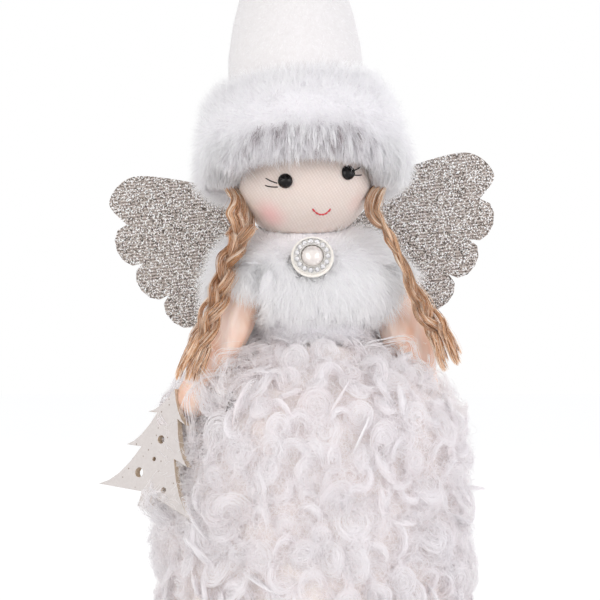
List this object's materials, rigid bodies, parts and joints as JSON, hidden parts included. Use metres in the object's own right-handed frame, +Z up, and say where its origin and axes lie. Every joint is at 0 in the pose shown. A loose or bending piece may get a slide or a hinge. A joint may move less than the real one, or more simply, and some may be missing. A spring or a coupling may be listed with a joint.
{
  "type": "fabric angel figurine",
  "caption": "Standing fabric angel figurine with a weighted base, curly skirt, fur collar, hat, wings, plaits and a plywood tree in one hand.",
  "frame": {"origin": "centre of the felt disc's underside, where the figure stands", "axes": "+Z up, +X towards the figure's left, -Y the way the face looks"},
  "size_m": [0.16, 0.122, 0.3104],
  "materials": {
    "wool_felt": "dense wool felt, matt",
    "fibreboard": "bare fibreboard, matt",
    "pellet_bag": "plain woven bag, filled with pellets",
    "wadding": "loose polyester wadding",
    "cotton_lining": "plain cotton weave",
    "curly_faux_fur": "curly faux fur, soft sheen",
    "short_plush": "short brushed plush",
    "long_faux_fur": "long straight faux fur",
    "fine_knit": "fine matt knit",
    "black_glass_bead": "polished black glass",
    "hat_fleece": "short brushed fleece",
    "cream_plastic": "cream plastic, satin",
    "silvered_setting": "bright silvered metal",
    "pearl_lacquer": "pearl lacquer, glossy",
    "rhinestone": "cut clear crystal, foil backed",
    "glitter_lame": "silver glitter cloth",
    "wing_card": "stiff card, matt",
    "peach_satin": "polyester satin",
    "painted_plywood": "off-white paint over plywood",
    "jute": "twisted jute, rough"
  },
  "bodies": {
    "figure": {"base_felt": "wool_felt", "base_board": "fibreboard", "ballast_bag": "pellet_bag", "body_filling": "wadding", "body_lining": "cotton_lining", "curly_skirt": "curly_faux_fur", "plush_bodice": "short_plush", "fur_collar": "long_faux_fur", "head_filling": "wadding", "head_cover": "fine_knit", "eye_left": "black_glass_bead", "eye_right": "black_glass_bead", "hat_crown": "hat_fleece", "hat_filling": "wadding", "hat_brim": "long_faux_fur", "brooch_back": "cream_plastic", "brooch_bezel": "silvered_setting", "brooch_pearl": "pearl_lacquer", "wing_front_cloth": "glitter_lame", "wing_core": "wing_card", "wing_back_cloth": "glitter_lame", "brooch_stone_01": "rhinestone", "brooch_stone_02": "rhinestone", "brooch_stone_03": "rhinestone", "brooch_stone_04": "rhinestone", "brooch_stone_05": "rhinestone", "brooch_stone_06": "rhinestone", "brooch_stone_07": "rhinestone", "brooch_stone_08": "rhinestone", "brooch_stone_09": "rhinestone", "brooch_stone_10": "rhinestone", "brooch_stone_11": "rhinestone", "brooch_stone_12": "rhinestone", "brooch_stone_13": "rhinestone", "brooch_stone_14": "rhinestone", "brooch_stone_15": "rhinestone"},
    "left_arm": {"arm_left_sleeve": "peach_satin", "arm_left_filling": "wadding"},
    "right_arm": {"arm_right_sleeve": "peach_satin", "arm_right_filling": "wadding", "tree_panel": "painted_plywood"},
    "left_plait": {"plait_left_strand_1": "jute", "plait_left_strand_2": "jute", "plait_left_strand_3": "jute"},
    "right_plait": {"plait_right_strand_1": "jute", "plait_right_strand_2": "jute", "plait_right_strand_3": "jute"}
  },
  "joints": [
    {"name": "arm_left_swing", "type": "hinge", "parent": "figure", "child": "left_arm", "pos_m": [0.0319, -0.00448, 0.14], "axis": [0, -1, 0], "range_deg": [0, 30]},
    {"name": "arm_right_swing", "type": "hinge", "parent": "figure", "child": "right_arm", "pos_m": [-0.02606, -0.01894, 0.14], "axis": [0, 1, 0], "range_deg": [0, 30]},
    {"name": "plait_left_swing", "type": "hinge", "parent": "figure", "child": "left_plait", "pos_m": [0.02875, -0.004, 0.1834], "axis": [0, -1, 0], "range_deg": [0, 20]},
    {"name": "plait_right_swing", "type": "hinge", "parent": "figure", "child": "right_plait", "pos_m": [-0.03435, -0.004, 0.1834], "axis": [0, 1, 0], "range_deg": [0, 20]}
  ]
}
